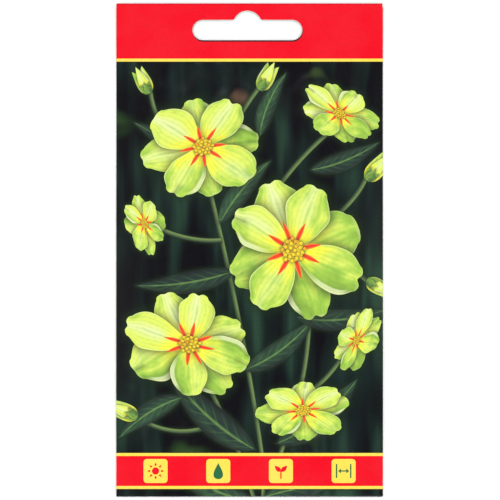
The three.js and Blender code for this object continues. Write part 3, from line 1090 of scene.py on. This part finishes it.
def weigh_normals(mesh):
    """Smooths each side of the sheet by the area of its faces, and keeps its cut edges flat."""
    places = np.empty(len(mesh.vertices) * 3, np.float32)
    mesh.vertices.foreach_get("co", places)
    places = places.reshape(-1, 3).astype(float)
    sizes = np.empty(len(mesh.polygons), np.int32)
    mesh.polygons.foreach_get("loop_total", sizes)
    at = np.empty(len(mesh.loops), np.int32)
    mesh.loops.foreach_get("vertex_index", at)
    starts = np.cumsum(sizes) - sizes
    first = places[at[starts]]
    own = np.cross(places[at[starts + 1]] - first, places[at[starts + 2]] - first)
    sides = sizes == 3
    shared = np.zeros_like(places)
    for k in range(3):
        np.add.at(shared, at[starts[sides] + k], own[sides])
    normals = np.where(np.repeat(sides, sizes)[:, None], shared[at], np.repeat(own, sizes, axis=0))
    normals /= np.linalg.norm(normals, axis=1)[:, None]
    mesh.normals_split_custom_set(normals.tolist())


# --- Shared shader groups ---

PAPER_WHITE = "f7f6f2"
PAPER_GREY = "dcd9cf"
DEEP_INK = (0.01, 0.01, 0.01)
CRACK_REACH = 0.55  # how far from a fold its ink is cracked, in millimetres
CORNER_REACH = 2.6  # how far from a top corner its ink is rubbed off
SEAL_REACH = 0.7  # how far the header's seal dents the paper
DOT_TURN = 18.0  # of the fine screen dots, in radians per millimetre
WEAVE = math.tau / 0.64  # of the fine cross-grain in dark print, in radians per millimetre
LIT_BLADES = "3a6046"
# Soft lights in the garden: scale, turn, the glow's start and end, strength and colour.
GLOWS = (
    ((0.05, 0.05, 1), 0, 0.0, 0.2, 0.4, "c09478"),
    ((0.042, 0.026, 1), 40, 0.1, 0.34, 0.4, "88b04a"),
    ((0.03, 0.05, 1), -30, 0.05, 0.3, 0.35, "4f7f3e"),
)


def sheet_uv(tree):
    return add(tree, "ShaderNodeUVMap", uv_map="Sheet")


def attribute(tree, name, output="Vector"):
    return add(tree, "ShaderNodeAttribute", output=output, attribute_name=name)


@shared_group("Fold Wear", {"Sheet": ("vector", None)}, {"Mask": "number", "Crease": "number"})
def fold_wear(tree, given):
    """Where ink has come off: in broken flecks along the folds and the turn, and at the top corners."""
    m = measures(bpy.context.scene.packet_sheet)
    s, w, _ = given["Sheet"].split()
    side = abs(abs(s) - (m.fold + m.fold_arc / 2))
    turn = abs(w - (m.turn - m.turn_arc / 2))
    near = side.least(turn)
    patches = noise(given["Sheet"], 0.5, 3.0, 0.7)
    flecks = noise(given["Sheet"], 3.2, 4.0, 0.75)
    close = near.within(CRACK_REACH)
    corner = (near + m.top - w).within(CORNER_REACH)
    bare = close * 0.4 + corner * 0.22 + flecks * 0.7 + patches * 0.6
    mask = bare.smooth(1.12, 1.22) * close.most(corner).smooth(0.02, 0.3)
    return {"Mask": mask, "Crease": close * 0.6 + abs(w - m.pocket_high).within(SEAL_REACH)}


@shared_group(
    "Pressed Ink",
    {
        "Ink": ("colour", (0.5, 0.5, 0.5, 1)),
        "Shadow": ("number", 0.0),
        "Shade": ("colour", (0.01, 0.026, 0.008, 1)),
        "Screen": ("number", 0.05),
    },
    {"Color": "colour", "Roughness": "number", "Height": "number"},
)
def pressed_ink(tree, given):
    """Ink on coated paper: mottle, fine screen dots, printed shadow, and bare cracks at the folds."""
    sheet = sheet_uv(tree)
    dx, dy, _ = stretched(sheet, (DOT_TURN, DOT_TURN, 1.0), turn=35).split()
    screen = (dx.sine() * dy.sine() + 1) * 0.5
    mottle = noise(sheet, 0.9, 4.0, 0.7)
    shaded = mix((given["Shadow"] * 0.72).clamp(), given["Ink"], given["Shade"])
    lighter = mix((screen * given["Screen"]).clamp(), shaded, (1, 1, 1))
    darker = mix((mottle - 0.42).clamp() * 0.35 + 0.1, lighter, DEEP_INK)
    wear = fold_wear(tree, Sheet=sheet)
    gloss = noise(sheet, 0.12, 2.0)
    fibre = noise(sheet, 2.4, 6.0, 0.7)
    return {
        "Color": mix(wear.mask, darker, PAPER_WHITE),
        "Roughness": gloss * 0.1 + mottle * 0.06 + 0.22 + wear.mask * 0.35,
        "Height": fibre * 0.6 + screen * 0.08 - wear.crease * 0.35 - wear.mask * 0.3,
    }


@shared_group("Blurred Garden", {"Sheet": ("vector", None)}, {"Color": "colour"})
def blurred_garden(tree, given):
    """A garden out of focus at night: streaks of teal leaves on near black, and a few soft lights."""
    p = bpy.context.scene.packet_print
    sheet = given["Sheet"]
    blades = noise(stretched(sheet, (0.11, 0.016, 1), turn=7), 1.0, 2.0, 0.45, 0.6)
    crossing = noise(stretched(sheet, (0.16, 0.02, 1), turn=-24), 1.0, 1.0, 0.4, 0.4)
    clouds = noise(sheet, 0.035, 1.0)
    leafy = (blades * 0.75 + crossing * 0.35 + clouds * 0.5).smooth(0.7, 1.08)
    ground = mix(leafy, p.night, p.teal)
    ground = layered(ground, ((blades * crossing * clouds).smooth(0.14, 0.28), 0.5, LIT_BLADES))
    stray = noise(sheet, 0.12, 1.0).beside("Color")
    warped = add(tree, "ShaderNodeVectorMath", {0: sheet, 1: stray})
    for scale, turn, low, high, strength, code in GLOWS:
        spots = add(tree, "ShaderNodeTexVoronoi", {"Vector": stretched(warped, scale, turn), "Scale": 1.0})
        glow = 1 - spots.smooth(low, high)
        rare, _, _ = spots.beside("Color").split()
        ground = layered(ground, (glow * rare.smooth(0.68, 0.8), strength, code))
    x, y, _ = sheet.split()
    weave = (x * WEAVE).sine() + (y * WEAVE).sine()
    return {"Color": mix((weave * 0.13 + 0.13).clamp(), ground, (0, 0, 0))}


# --- Inks ---

PETAL_SHADE = "6f9236"
PETAL_VEIN = "7fbb3c"
PETAL_TIP = "4c7430"
STAMEN_GOLD = "ffd92e"
FLECK_RIM = "ffe36a"
LEAF_SHADE = "142e26"
LEAF_VEIN = "7cb85a"
MIDRIB = "8fbf60"
STEM_LIT = "7d9a55"
STEM_SHADE = "182e26"
STEM_PATCH = "4d6a34"
# Dark red of the painted shadow at the slot and the painted shade at the top edge.
PAINTED_SHADOW_RED = "4a2028"


def garden_ink(tree):
    return blurred_garden(tree, Sheet=sheet_uv(tree)).color


def flat_ink(colour, thinning):
    """Makes an ink of one colour that lies a little thinner in some places than in others."""

    def ink(tree):
        thin = noise(sheet_uv(tree), 0.06, 3.0, 0.6).smooth(0.35, 0.65)
        return mix(thin * thinning, colour, (1, 1, 1))

    return ink


def petal_ink(tree):
    """A petal: yellow at its heart, lime, then green to its end, with soft veins and a thin pale margin."""
    p = bpy.context.scene.packet_print
    u, v, lit = attribute(tree, "place").split()
    edge = abs(v)
    own = joined(tree, u * 2.2, v * 1.2, lit * 57)
    cloud = noise(own, 1.4, 2.0)
    mood = noise(joined(tree, lit * 91, 3.0), 5.0, 0.0)
    side = v * (mood - 0.5) * 2.4
    dim = u * 0.55 + edge * edge * 0.35 + side + (0.48 - lit) * 1.1 + (cloud - 0.5) * 1.7
    bright = abs(v + (mood - 0.5) * 2).within(0.5) * u.smooth(0.2, 0.6) * lit.smooth(0.2, 0.7)
    groove = edge.within(0.12) * u.smooth(0.05, 0.2) * (1 - u.smooth(0.7, 0.95))
    veins = ((v * 27 + noise(own, 2.0) * 4).sine() * 0.5 + 0.5) * 0.2 * u.smooth(0.1, 0.4)
    tip = u.smooth(0.8, 0.93) * edge.within(0.3) * mood.smooth(0.5, 0.6)
    curl = v * ((mood - 0.5) * 14).clamp(-1, 1)
    rolled = u.smooth(0.25, 0.6) * (1 - u.smooth(0.85, 1.0))
    margin = edge.smooth(0.9, 0.99).most(u.smooth(1.04, 1.1)) * (cloud + 0.3).smooth(0.6, 1.0)
    return layered(
        mix((u + (cloud - 0.5) * 0.9).smooth(0.12, 0.66), p.petal_heart, p.petal),
        (dim.smooth(0.3, 1.05), 0.95, p.petal_end),
        (dim.smooth(0.8, 1.7), 0.8, PETAL_SHADE),
        (bright * (cloud + 0.25).clamp(), 0.95, p.petal_light),
        ((groove * 0.3 + veins).clamp(), 1.0, PETAL_VEIN),
        (tip, 0.6, PETAL_TIP),
        (curl.smooth(0.42, 0.74) * rolled, 0.4, PETAL_SHADE),
        (curl.smooth(0.74, 0.8) * rolled, 0.6, p.petal_light),
        (margin, 0.6, p.petal_edge),
    )


def accent_ink(tree):
    """Flecks and stamens: orange-red at tone 0, golden at 1."""
    _, v, tone = attribute(tree, "place").split()
    ink = mix(tone.smooth(0.2, 0.75), bpy.context.scene.packet_print.accent, STAMEN_GOLD)
    return layered(ink, (abs(v).smooth(0.3, 1.0), 0.35, FLECK_RIM))


def leaf_ink(tree):
    """A leaf: a pale midrib with slanting side veins, one half darker than the other. Its sides are blurred
    into the garden, but not those of a bud's cup."""
    p = bpy.context.scene.packet_print
    u, v, tone = attribute(tree, "place").split()
    edge = abs(v)
    veins = ((u * 8 - edge * 1.6) * math.tau).sine().smooth(0.5, 1.0) * (1 - edge * 0.8)
    cloud = noise(joined(tree, u * 4, v, tone * 23), 2.0, 3.0)
    lit = cloud * 1.6 - 0.45 + v * 0.35 + (tone - 0.5) * 0.7
    return layered(
        mix(lit.clamp(), LEAF_SHADE, p.leaf),
        ((lit - 1).clamp(), 0.7, p.petal_end),
        (veins, 0.12, LEAF_VEIN),
        (edge.within(0.14), 0.45, MIDRIB),
        (edge.smooth(0.45, 1.0) * (CUP_TONE - tone).clamp(), 0.85, garden_ink(tree)),
    )


def stem_ink(tree):
    """A stem: lighter on one side, and blurred into the garden on both."""
    _, v, _ = attribute(tree, "place").split()
    return layered(
        mix((v * 0.5 + 0.5).smooth(0, 1), STEM_LIT, STEM_SHADE),
        (noise(sheet_uv(tree), 0.3), 0.3, STEM_PATCH),
        (abs(v).smooth(0.5, 1.0), 0.8, garden_ink(tree)),
    )


def painted_shadow_ink(tree):
    """Red darkened as painted shade at the slot's lower edge and the top edge: darker the higher its tone.
    """
    _, _, tone = attribute(tree, "place").split()
    return mix(tone, bpy.context.scene.packet_print.red, PAINTED_SHADOW_RED)


# --- Materials ---

PRINT_SPECULAR = 0.12
GLUE_PALE = "efe3bf"
GLUE_AMBER = "d3b67c"
COAT_SHADE = "17110d"
COAT_RIDGE = "7a604a"
TABLE_WHITE = "fefefe"
TABLE_CLOUD = "fcfcfc"


def new_material(name, look, strength=0.0, depth=0.0, specular=0.5):
    """A material whose look gives a colour, a roughness and a height from its tree. The bump that follows
    the height has a strength, and a depth in millimetres."""
    material = bpy.data.materials.new(name)
    material.use_nodes = True
    tree = material.node_tree
    shader = tree.nodes["Principled BSDF"]
    colour, roughness, height = look(tree)
    feed(shader.inputs["Base Color"], colour)
    feed(shader.inputs["Roughness"], roughness)
    feed(shader.inputs["Specular IOR Level"], specular)
    if strength:
        inputs = {"Strength": strength, "Distance": depth * MM, "Height": height}
        feed(shader.inputs["Normal"], add(tree, "ShaderNodeBump", inputs))
    arrange(tree)
    return material


def printed(name, ink, screen=0.03):
    """A printed material. ink is a colour, or makes one from the material's tree."""

    def look(tree):
        press = pressed_ink(
            tree,
            Ink=ink(tree) if callable(ink) else rgba(ink),
            Shadow=attribute(tree, "shadow", "Fac"),
            Screen=screen,
        )
        return press.color, press.roughness, press.height

    return new_material(name, look, 0.25, 0.03, PRINT_SPECULAR)


def bare_paper(tree):
    """The sheet's unprinted inside and its cut edges."""
    fibre = noise(sheet_uv(tree), 1.6, 6.0, 0.75)
    return mix(fibre.smooth(0.3, 0.75) * 0.5, PAPER_WHITE, PAPER_GREY), fibre * 0.2 + 0.72, fibre


def object_place(tree):
    return add(tree, "ShaderNodeTexCoord", output="Object")


def dried_glue(tree):
    """Hardened adhesive: amber, with fine bubbles and a skin that has shrunk."""
    place = object_place(tree)
    cloud = noise(place, 260.0, 4.0, 0.6)
    bubbles = add(tree, "ShaderNodeTexVoronoi", {"Vector": place, "Scale": 1400.0})
    height = cloud * 0.7 + bubbles.smooth(0.0, 0.35) * 0.3
    return mix(cloud.smooth(0.3, 0.7), GLUE_PALE, GLUE_AMBER), cloud * 0.3 + 0.2, height


def seed_coat(tree):
    """A dull dark coat, paler on its ridges."""
    place = object_place(tree)
    grain = noise(place, 2600.0, 5.0, 0.7)
    patches = noise(place, 500.0, 2.0)
    ink = mix(patches.smooth(0.35, 0.7), bpy.context.scene.packet_seeds.coat, COAT_SHADE)
    return mix(grain.smooth(0.55, 0.8) * 0.6, ink, COAT_RIDGE), grain * 0.35 + 0.5, grain


def pale_table(tree):
    """A plain floor, hardly mottled and without a bump."""
    cloud = noise(object_place(tree), 3.0, 3.0)
    return mix(cloud * 0.3, TABLE_WHITE, TABLE_CLOUD), cloud * 0.1 + 0.6, cloud


def ink_materials():
    """One material for each ink, in the order of INKS."""
    p = bpy.context.scene.packet_print
    return [
        new_material("Bare Paper", bare_paper, 0.5, 0.05),
        printed("Garden Print", garden_ink, 0.0),
        printed("Leaf Print", leaf_ink),
        printed("Stem Print", stem_ink),
        printed("Petal Print", petal_ink),
        printed("Accent Print", accent_ink),
        printed("Red Print", flat_ink(p.red, 0.0065), 0.0),
        printed("Yellow Print", flat_ink(p.yellow, 0.03)),
        printed("Cream Print", p.cream),
        printed("Green Print", p.green),
        # Painted shadow and shade along the slot and the top edge.
        printed("Bruised Print", painted_shadow_ink, 0.0),
    ]


# --- Seeds ---


def seed_points():
    """A point for each seed of the frame, with its length, breadth and height and its turn about Z."""
    mesh = bpy.data.meshes.new("seeds")
    places, sizes, turns = [], [], []
    for name in SEED_NODES:
        spots = np.array([v.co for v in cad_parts[name].data.vertices])
        flat = spots[:, :2] - spots[:, :2].mean(0)
        _, axes = np.linalg.eigh(flat.T @ flat)
        along, aside = flat @ axes[:, 1], flat @ axes[:, 0]
        places.append((spots.min(0) + spots.max(0)) / 2)
        sizes.append((np.ptp(along) / 2, np.ptp(aside) / 2, np.ptp(spots[:, 2]) / 2))
        turns.append(math.atan2(axes[1, 1], axes[0, 1]))
    mesh.from_pydata(places, [], [])
    mesh.attributes.new("size", "FLOAT_VECTOR", "POINT").data.foreach_set("vector", np.ravel(sizes))
    mesh.attributes.new("turn", "FLOAT", "POINT").data.foreach_set("value", turns)
    return mesh


def seed_tree(material):
    """Sets a wrinkled three-cornered grain on every point."""

    def moved(tree, shape, **inputs):
        return add(tree, "GeometryNodeSetPosition", {"Geometry": shape, **inputs})

    def sown(tree, given):
        ball = add(tree, "GeometryNodeMeshIcoSphere", {"Radius": 1.0, "Subdivisions": given["Detail"]})
        x, y, z = add(tree, "GeometryNodeInputPosition").split()
        corner = (z.angle(y) * 3).cosine() * 0.1 + 0.86
        slim = corner * (1 - x * given["Pinch"]) * 0.95
        seeds = {
            "Points": given["Geometry"],
            "Instance": moved(tree, ball, Position=joined(tree, x, y * slim, z * slim)),
            "Rotation": joined(tree, 0.0, 0.0, stored(tree, "turn", "FLOAT")),
            "Scale": stored(tree, "size", "FLOAT_VECTOR"),
        }
        shape = add(tree, "GeometryNodeInstanceOnPoints", seeds)
        shape = add(tree, "GeometryNodeRealizeInstances", {0: shape})
        place = add(tree, "GeometryNodeInputPosition")
        ridges = abs(noise(place, 1500.0, 2.0, 0.6, 0.5) - 0.5) * 4
        push = {0: add(tree, "GeometryNodeInputNormal"), "Scale": (ridges.clamp() - 1) * given["Wrinkle"]}
        shape = moved(tree, shape, Offset=add(tree, "ShaderNodeVectorMath", push, operation="SCALE"))
        shape = add(tree, "GeometryNodeSetShadeSmooth", {"Geometry": shape})
        return add(tree, "GeometryNodeSetMaterial", {"Geometry": shape, "Material": material})

    inputs = {"Detail": ("count", 3), "Wrinkle": ("number", 0.0), "Pinch": ("number", 0.3)}
    return shaping_tree("Sow the Seeds", inputs, sown)


# --- Operators ---


class PACKET_OT_printed_sheet(bpy.types.Operator):
    """Print the flat sheet, cut its slot and fold it into the packet"""

    bl_idname = "seed_packet.printed_sheet"
    bl_label = "Printed Sheet"

    def execute(self, context):
        settings = context.scene.packet_sheet
        m = measures(settings)
        sizes = fold_sizes(settings, m)
        mesh = sheet_mesh(m, packet_art(m), settings.grain / MM)
        packet = evaluated("packet_paper", mesh, fold_tree(sizes, ink_materials()), sizes)
        weld(packet.data)
        weigh_normals(packet.data)
        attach(packet, "root")
        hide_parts("paper_sheet")
        return {"FINISHED"}


class PACKET_OT_dried_glue(bpy.types.Operator):
    """Give the glue films and beads their look"""

    bl_idname = "seed_packet.dried_glue"
    bl_label = "Dried Glue"

    def execute(self, context):
        material = new_material("Dried Glue", dried_glue, 0.6, 0.06)
        for name in GLUE_NODES:
            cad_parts[name].material_slots[0].material = material
        return {"FINISHED"}


class PACKET_OT_loose_seeds(bpy.types.Operator):
    """Lay wrinkled seeds where the frame's seeds lie"""

    bl_idname = "seed_packet.loose_seeds"
    bl_label = "Loose Seeds"

    def execute(self, context):
        settings = context.scene.packet_seeds
        coat = new_material("Seed Coat", seed_coat, 0.7, 0.03)
        values = {"Detail": settings.detail, "Wrinkle": settings.wrinkle}
        seeds = evaluated("loose_seeds", seed_points(), seed_tree(coat), values)
        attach(seeds, "root")
        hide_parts(*SEED_NODES)
        return {"FINISHED"}


# The view: straight down, with the packet's middle a little left of the picture's.
PICTURE_SPAN = 150.25 * MM  # what the picture's side covers at the table
VIEW_SHIFT = (0.12 * MM, 0.07 * MM)
SENSOR = 36.0
NEAREST = 0.01  # what the camera shows begins here, in metres
TABLE_HALF = 3.0
LAMP_DISTANCE = 0.75
# Azimuth from +Y clockwise, elevation, share of the power, size in metres.
LAMPS = ((168, 45, 1.2, 0.22), (255, 56, 1.0, 0.3), (345, 56, 1.1, 0.3), (75, 56, 1.0, 0.3))


class PACKET_OT_table(bpy.types.Operator):
    """Set the table, the lamps and the camera"""

    bl_idname = "seed_packet.table"
    bl_label = "Table and Light"

    def execute(self, context):
        settings = context.scene.packet_table
        mesh = bpy.data.meshes.new("table")
        corners = rectangle(-TABLE_HALF, -TABLE_HALF, TABLE_HALF, TABLE_HALF)
        mesh.from_pydata([(x, y, 0) for x, y in corners], [], [(0, 1, 2, 3)])
        mesh.materials.append(new_material("Pale Table", pale_table))
        shown("table", mesh)
        for azimuth, elevation, share, size in LAMPS:
            lamp = bpy.data.lights.new("lamp", "AREA")
            lamp.energy = settings.lamp * share
            lamp.size = size
            a, e = math.radians(azimuth), math.radians(elevation)
            towards = Vector((math.sin(a) * math.cos(e), math.cos(a) * math.cos(e), math.sin(e)))
            placed = shown("lamp", lamp)
            placed.location = towards * LAMP_DISTANCE
            placed.rotation_euler = towards.to_track_quat("Z", "Y").to_euler()
        world = bpy.data.worlds.new("even_light")
        world.use_nodes = True
        sky = world.node_tree.nodes["Background"]
        sky.inputs["Strength"].default_value = settings.sky
        sky.inputs["Color"].default_value = (1, 1, 1, 1)
        context.scene.world = world
        context.scene.view_settings.view_transform = "Standard"
        lens = bpy.data.cameras.new("camera")
        lens.lens = settings.lens
        lens.sensor_width = SENSOR
        lens.clip_start = NEAREST
        camera = shown("camera", lens)
        camera.location = (*VIEW_SHIFT, PICTURE_SPAN * settings.lens / SENSOR)
        context.scene.camera = camera
        return {"FINISHED"}


OPERATORS = (PACKET_OT_printed_sheet, PACKET_OT_dried_glue, PACKET_OT_loose_seeds, PACKET_OT_table)


class PACKET_PT_sidebar(bpy.types.Panel):
    """Lists the steps and their settings"""

    bl_idname = "PACKET_PT_sidebar"
    bl_label = "Seed Packet"
    bl_space_type = "VIEW_3D"
    bl_region_type = "UI"
    bl_category = "Seed Packet"

    def draw(self, context):
        for group in SETTINGS:
            settings = getattr(context.scene, group)
            box = self.layout.box()
            for name in settings.__annotations__:
                box.prop(settings, name)
        for operator in OPERATORS:
            self.layout.operator(operator.bl_idname)


CLASSES = (*SETTINGS.values(), *OPERATORS, PACKET_PT_sidebar)


def register():
    for cls in CLASSES:
        bpy.utils.register_class(cls)
    for name, cls in SETTINGS.items():
        setattr(bpy.types.Scene, name, PointerProperty(type=cls))


def unregister():
    for name in SETTINGS:
        delattr(bpy.types.Scene, name)
    for cls in reversed(CLASSES):
        bpy.utils.unregister_class(cls)


def main():
    register()
    bpy.ops.seed_packet.printed_sheet()
    bpy.ops.seed_packet.dried_glue()
    bpy.ops.seed_packet.loose_seeds()
    bpy.ops.seed_packet.table()


if __name__ == "__main__":
    main()
